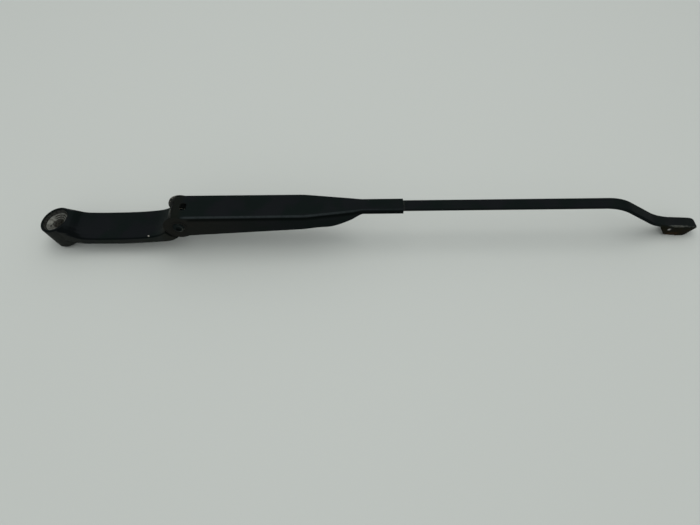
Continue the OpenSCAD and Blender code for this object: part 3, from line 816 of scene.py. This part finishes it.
class WIPER_OT_retainer(bpy.types.Operator):
    """Skins the pressed retainer"""
    bl_idname = "wiper.retainer"
    bl_label = "Retainer"

    def execute(self, context):
        scene = context.scene

        def about_ear(tree, place, reads):
            """Distance from the ears' middle line, and fine noise for specks."""
            return {"ear": from_axis(tree, place, EAR_CENTRE),
                    "speck": noise(tree, place, 1.1, 3.0, 0.6)}

        # Chips, bare rim and bare specks on the far ear and the hood above it
        chips = ((93.4, 11.7, 13.6, 0.45), (98.5, 11.7, 22.0, 0.55), (95.7, 11.6, 17.7, 0.4),
                 (94.5, 11.6, 15.6, 0.3), (101.0, 12.2, 23.6, 0.35))
        rim = (("ear", 11.5, 11.9), ("y", 11.2, 11.8), ("x", 104.0, 101.0), ("z", 11.0, 14.0),
               ("patch", 0.2, 0.5, 0.0, 0.22))
        specks = (("speck", 0.6, 0.66), ("y", 9.0, 11.0), ("x", 116.0, 110.0),
                  ("z", 22.0, 23.5, 0.0, 0.25))
        # Painted highlight: lighter along the long bends, less towards the sleeve
        bend_highlight = (*ON_BEND, ("x", 108.0, 114.0), ("side", 3.5, 4.5),
                  ("x", 300.0, 200.0, 0.35, 1.0), ("patch", 0.3, 0.6, 0.6, 1.0))
        # Brownish dirt round the pin
        olive_front = (("x", 112.0, 106.5, 0.0, 0.75),)
        # Lighter colour on the ears and walls, less away from the hinge
        pale_wall = (UPRIGHT, ("x", 200.0, 112.0), ("patch", 0.2, 0.7, 0.6, 1.0))
        # The far ear's inner face, lighter: paint worn by the lug, and painted light that lifts its shade
        far_ear = (("y", 11.1, 11.4), ("y", 12.0, 11.8), ("x", 104.0, 101.0),
                   ("patch", 0.3, 0.6, 0.5, 1.0))
        # Painted shade: a dark line on the walls just under the bends
        under_bend_shade = (("z", RETAINER_TOP - 1.5, RETAINER_TOP - 2.5),
                      ("z", RETAINER_TOP - 6.4, RETAINER_TOP - 3.4),
                      ("x", 112.0, 118.0, 0.0, 0.75))
        finish = black_paint("retainer_paint_worn", scene, chips=chips, bare=(rim, specks),
                             shades=((bend_highlight, (0.025, 0.030, 0.031)),
                                     (olive_front, (0.0090, 0.0100, 0.0078)),
                                     (pale_wall, (0.0135, 0.0135, 0.0118)),
                                     (far_ear, (0.050, 0.052, 0.047)),
                                     (under_bend_shade, (0.0010, 0.0020, 0.0017))),
                             more=about_ear)
        mesh = joined_mesh("retainer_skin", "retainer")
        mesh = self.with_short_hood(mesh)
        mesh.shade_smooth()
        mesh = bevelled(mesh, scene.wiper_skin.edge_round)
        new_piece("retainer_skin", mesh, finish, "arm", "arm_paint", "retainer")
        return {"FINISHED"}

    def with_short_hood(self, mesh):
        """The retainer with its hood's lip cut back between the ears: a sector about the
        pin, from HOOD_END to past the lip, is taken away."""
        past_lip, steps, outer, inner, gap = math.radians(46), 9, 13.0, 6.8, 0.02
        angle = HOOD_END + np.linspace(0, past_lip, steps)
        angle = np.concatenate([angle, angle[::-1]])
        radius = np.repeat((outer, inner), steps)
        side = RETAINER_HW - SHEET - gap
        points = np.empty((2, 2 * steps, 3))
        points[..., 0] = -radius * np.sin(angle)
        points[..., 1] = np.array((-side, side))[:, None]
        points[..., 2] = radius * np.cos(angle)
        cutter = close_up(grid_mesh("hood_cutter", points + HINGE, round_it=True))
        tool = bpy.data.objects.new("cutter", cutter)
        bpy.context.scene.collection.objects.link(tool)
        cut = finished(mesh, [("BOOLEAN", {"operation": "DIFFERENCE", "object": tool,
                                           "solver": "EXACT"})])
        bpy.data.objects.remove(tool)
        cut.name = "retainer_skin"
        return cut


class WIPER_OT_rod(bpy.types.Operator):
    """Skins the flat rod with its folded channel, and finishes the cross pin"""
    bl_idname = "wiper.rod"
    bl_label = "Rod"

    def execute(self, context):
        scene = context.scene

        def about_chip(tree, place, reads):
            """Distance from the dark chip in the channel's bend."""
            return {"chip": vectors(tree, "DISTANCE", place, (530.8, -5.3, -4.6), "Value")}

        # Rust where the blade's clip has rubbed the channel's sides, most at their middle
        rusty_side = (("z", -5.5, -7.5), ("x", CHANNEL_X - 2, CHANNEL_X + 2, 0.0, 0.012))
        rusty_low = (("z", -9.0, -13.0), ("x", HEEL_X - 5, HEEL_X), ("x", TOE_X - 1, TOE_X - 6),
                     ("patch", 0.3, 0.6, 0.0, 0.09))
        # Bare metal in a thin line past the sleeve, and on the channel's upper edge
        # a painted highlight drawn as bare metal
        line = (("x", SLEEVE_END - 0.3, SLEEVE_END), ("x", SLEEVE_END + 1.5, SLEEVE_END + 1.0),
                ("patch", 0.3, 0.5, 0.0, 0.07))
        edge = (("x", HEEL_X - 3, HEEL_X), ("x", NOSE_X - 3, NOSE_X - 7), ("y", -4.2, -4.8),
                ("z", -4.9, -4.2), ("patch", 0.42, 0.55, 0.0, 0.15))
        # Dust on the channel's top
        pale_top = (("up", 0.8, 0.95), ("x", CHANNEL_X - 8, CHANNEL_X + 4),
                    ("patch", 0.3, 0.7, 0.2, 0.6))
        # Painted shade: darker paint on the slope
        shaded_slope = (("x", 468.0, 484.0), ("x", 512.0, 500.0, 0.0, 0.4))
        # Brown grime on the channel's sides
        dark_side = (("up", 0.4, 0.2), ("x", CHANNEL_X - 2, CHANNEL_X + 1),
                     ("patch", 0.3, 0.6, 0.3, 0.8))
        # Painted highlight: the channel's bends made lighter, with a dark chip
        bend_highlight = (*ON_BEND, ("x", HEEL_X - 7, HEEL_X), ("x", NOSE_X - 5, NOSE_X - 14, 0.3, 1.0),
                  ("patch", 0.3, 0.6, 0.5, 1.0))
        chipped = (("chip", 1.6, 1.1),)
        finish = black_paint("rod_paint_worn", scene, bare=(line, edge),
                             rust=(rusty_side, rusty_low),
                             shades=((pale_top, (0.0135, 0.0145, 0.0140)),
                                     (shaded_slope, (0.0015, 0.0040, 0.0034)),
                                     (dark_side, (0.0095, 0.0088, 0.0040)),
                                     (bend_highlight, (0.052, 0.056, 0.050)),
                                     (chipped, (0.004, 0.004, 0.002))),
                             more=about_chip)
        mesh = self.worn_tip(joined_mesh("rod_skin", "rod"))
        mesh.shade_smooth()
        mesh = bevelled(mesh, scene.wiper_skin.edge_round)
        new_piece("rod_skin", mesh, finish, "arm", "arm_paint", "rod")
        bright = steel("cross_pin_steel", (0.52, 0.52, 0.51), scene.wiper_metal, 0.3, 0.2,
                       grimy_from=0.75)
        give_finish("blade_pin", bright)
        return {"FINISHED"}

    def worn_tip(self, mesh):
        """The rod with the lower corners of its channel's sides moved back as seen: by the
        share t of the depth below the bend, up to 2 mm at the heel and 4.5 mm at the toe."""
        bend_z, side_depth, heel_wear, toe_wear = -6.5, 6.5, 2.0, 4.5
        corners = corners_of(mesh) / MM
        x, z = corners[:, 0].copy(), corners[:, 2]
        depth = np.clip((bend_z - z) / side_depth, 0, 1)
        heel = heel_wear * smooth_step(x, HEEL_X + 4, HEEL_X)
        toe = toe_wear * smooth_step(x, TOE_X - 5, TOE_X)
        corners[:, 0] = np.where(x > CHANNEL_X - 6, x - (heel + toe) * depth, x)
        put_corners(mesh, corners * MM)
        return mesh


class WIPER_OT_pivot(bpy.types.Operator):
    """Makes the rivet and finishes its washer and bushes"""
    bl_idname = "wiper.pivot"
    bl_label = "Pivot"

    def execute(self, context):
        scene = context.scene
        mesh = turned("rivet", self.rivet_profile(), HINGE, True)
        shade(mesh, math.radians(30))

        def about_pin(tree, place, reads):
            """Distance from the rivet's own axis."""
            return {"away": from_axis(tree, place, HINGE)}

        # Worn bare arcs, kept to the lower right of the dome as a painted highlight,
        # and painted shade in the dimple in its middle
        lower_right = (("z", 14.5, 12.5, 0.25, 1.0), ("x", 104.5, 107.5, 0.0, 0.2))
        inner_arc = (("away", 2.9, 3.3), ("away", 4.2, 3.8), *lower_right)
        outer_arc = (("away", 4.4, 4.7), ("patch", 0.4, 0.6), *lower_right)
        # Painted shade: darker in the rivet's dimple
        dirt_and_shade = (("away", 2.4, 1.8, 0.0, 0.8),)
        finish = black_paint("rivet_paint_worn", scene, bare=(inner_arc, outer_arc),
                             shades=((dirt_and_shade, (0.0015, 0.002, 0.002)),), more=about_pin)
        new_piece("rivet", mesh, finish, "arm", "arm_paint", "pivot_pin")
        metal = scene.wiper_metal
        give_finish("pivot_washer", steel("washer_steel", metal.steel, metal))
        plastic = nylon("bush_nylon", metal.plastic)
        give_finish("pivot_bush_near", plastic)
        give_finish("pivot_bush_far", plastic)
        return {"FINISHED"}

    def rivet_profile(self):
        """The rivet's outline from its near end: a dimple in a domed head, which is a
        quarter arc of the head's radius and height, then the shank and its peened end."""
        dome_h, rim_h, peen_h, chamfer = 1.7, 0.5, 1.2, 0.6
        end = EAR_FACE + WASHER_T
        dimple = [(0.0, -EAR_FACE - dome_h), (0.7, -EAR_FACE - dome_h - 0.02),
                  (1.3, -EAR_FACE - dome_h - 0.25)]
        arc = np.radians(np.linspace(22, 90, 12))
        domed = zip(RIVET_R * np.sin(arc), -EAR_FACE - rim_h - dome_h * np.cos(arc))
        shank = [(RIVET_R, -EAR_FACE), (PIN_R, -EAR_FACE), (PIN_R, end + peen_h - chamfer),
                 (PIN_R - chamfer, end + peen_h), (0.0, end + peen_h)]
        return [*dimple, *domed, *shank]


class WIPER_OT_spring(bpy.types.Operator):
    """Makes the tension spring and skins the link and the pin it hooks on"""
    bl_idname = "wiper.spring"
    bl_label = "Spring and link"

    def execute(self, context):
        scene = context.scene
        metal = scene.wiper_metal
        path = resampled(spring_path(), spacing=0.5, soften=3)
        mesh = wire_along("coil_spring", path, WIRE_D / 2)
        mesh.shade_smooth()
        wire = steel("spring_wire", (0.30, 0.29, 0.27), metal, 0.34, 0.45)
        new_piece("coil_spring", mesh, wire, "link", "spring_steel", "tension_spring")
        mesh = joined_mesh("link_plate", "spring_link")
        shade(mesh, scene.wiper_skin.smooth_angle)
        plate = steel("link_phosphated", (0.07, 0.068, 0.062), metal, 0.55, 0.12)
        new_piece("link_plate", mesh, plate, "link", "link_steel", "spring_link")
        give_finish("hook_pin", steel("hook_pin_steel", metal.steel, metal))
        return {"FINISHED"}


class WIPER_OT_stage(bpy.types.Operator):
    """Sets the floor, the lamp and the camera"""
    bl_idname = "wiper.stage"
    bl_label = "Stage"

    def execute(self, context):
        stage = context.scene.wiper_stage
        self.floor(stage)
        self.light(stage)
        self.camera(stage)
        context.scene.view_settings.view_transform = "Standard"
        return {"FINISHED"}

    def floor(self, stage):
        """A plain pale floor under the lowest point."""
        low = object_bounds()[0].z
        points = np.array([[[x, y, low] for x in FLOOR_X] for y in FLOOR_Y]) / MM
        mesh = grid_mesh("floor", points)
        material, tree = new_material("pale_floor")
        surface(tree, colour=tuple(stage.floor), roughness=0.55, specular=0.3)
        mesh.materials.append(material)
        floor = bpy.data.objects.new("floor", mesh)
        bpy.context.scene.collection.objects.link(floor)
        floor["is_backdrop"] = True

    def light(self, stage):
        """Even light from all round, which the camera sees as a pale backdrop and glossy
        rays as a darker room, and one soft lamp above."""
        world = bpy.context.scene.world or bpy.data.worlds.new("studio")
        bpy.context.scene.world = world
        world.use_nodes = True
        tree = world.node_tree
        tree.nodes.clear()
        rays = tree.nodes.new("ShaderNodeLightPath")

        def background(colour, strength):
            """Light of one colour from all round."""
            return shader(tree, "Background", {"Color": colour, "Strength": strength})

        mixed = shader(tree, "MixShader", {0: rays.outputs["Is Glossy Ray"],
                                           1: background((0.95, 0.98, 1.0), stage.ambient),
                                           2: background((0.9, 0.97, 1.0), stage.room)})
        mixed = shader(tree, "MixShader", {0: rays.outputs["Is Camera Ray"], 1: mixed,
                                           2: background(BACKDROP, 1.0)})
        out = tree.nodes.new("ShaderNodeOutputWorld")
        tree.links.new(mixed, out.inputs["Surface"])

        light = bpy.data.lights.new("overhead", "AREA")
        light.shape = "DISK"
        light.size = LAMP_SIZE
        light.energy = stage.overhead
        lamp = bpy.data.objects.new("overhead", light)
        bpy.context.scene.collection.objects.link(lamp)
        lamp.location = LAMP_PLACE
        away = lamp.location - Vector(LAMP_AIM)
        lamp.rotation_euler = away.to_track_quat("Z", "Y").to_euler()

    def camera(self, stage):
        """The camera where the photograph was taken from."""
        data = bpy.data.cameras.new("camera")
        data.lens = stage.lens
        data.clip_start = 0.01
        data.clip_end = 20
        camera = bpy.data.objects.new("camera", data)
        bpy.context.scene.collection.objects.link(camera)
        camera.location = stage.camera_place
        camera.rotation_mode = "QUATERNION"
        tilt, roll = stage.camera_tilt / 2, stage.camera_roll / 2
        # A turn about X by the tilt after a turn about the line of sight by the roll
        camera.rotation_quaternion = (
            math.cos(tilt) * math.cos(roll), math.sin(tilt) * math.cos(roll),
            -math.sin(tilt) * math.sin(roll), math.cos(tilt) * math.sin(roll))
        bpy.context.scene.camera = camera


class WIPER_PT_panel(bpy.types.Panel):
    """Lists the arm's pieces and settings in the sidebar"""
    bl_idname = "WIPER_PT_panel"
    bl_label = "Wiper Arm"
    bl_space_type = "VIEW_3D"
    bl_region_type = "UI"
    bl_category = "Wiper Arm"

    def draw(self, context):
        for operator in OPERATORS:
            self.layout.operator(operator.bl_idname)
        for name in SETTINGS:
            group = getattr(context.scene, name)
            box = self.layout.box()
            for field in group.bl_rna.properties.keys():
                if field not in ("rna_type", "name"):
                    box.prop(group, field)


OPERATORS = (WIPER_OT_head, WIPER_OT_retainer, WIPER_OT_rod, WIPER_OT_pivot,
             WIPER_OT_spring, WIPER_OT_stage)
SETTINGS = {"wiper_paint": PaintLook, "wiper_metal": MetalLook, "wiper_skin": SkinSizes,
            "wiper_stage": StageSettings}


def register():
    for group in SETTINGS.values():
        bpy.utils.register_class(group)
    for operator in OPERATORS:
        bpy.utils.register_class(operator)
    bpy.utils.register_class(WIPER_PT_panel)
    for name, group in SETTINGS.items():
        setattr(bpy.types.Scene, name, bpy.props.PointerProperty(type=group))


def unregister():
    for name in SETTINGS:
        delattr(bpy.types.Scene, name)
    bpy.utils.unregister_class(WIPER_PT_panel)
    for operator in reversed(OPERATORS):
        bpy.utils.unregister_class(operator)
    for group in reversed(tuple(SETTINGS.values())):
        bpy.utils.unregister_class(group)


def main():
    """Builds every piece and the stage."""
    register()
    for operator in OPERATORS:
        group, name = operator.bl_idname.split(".")
        getattr(getattr(bpy.ops, group), name)()


if __name__ == "__main__":
    main()
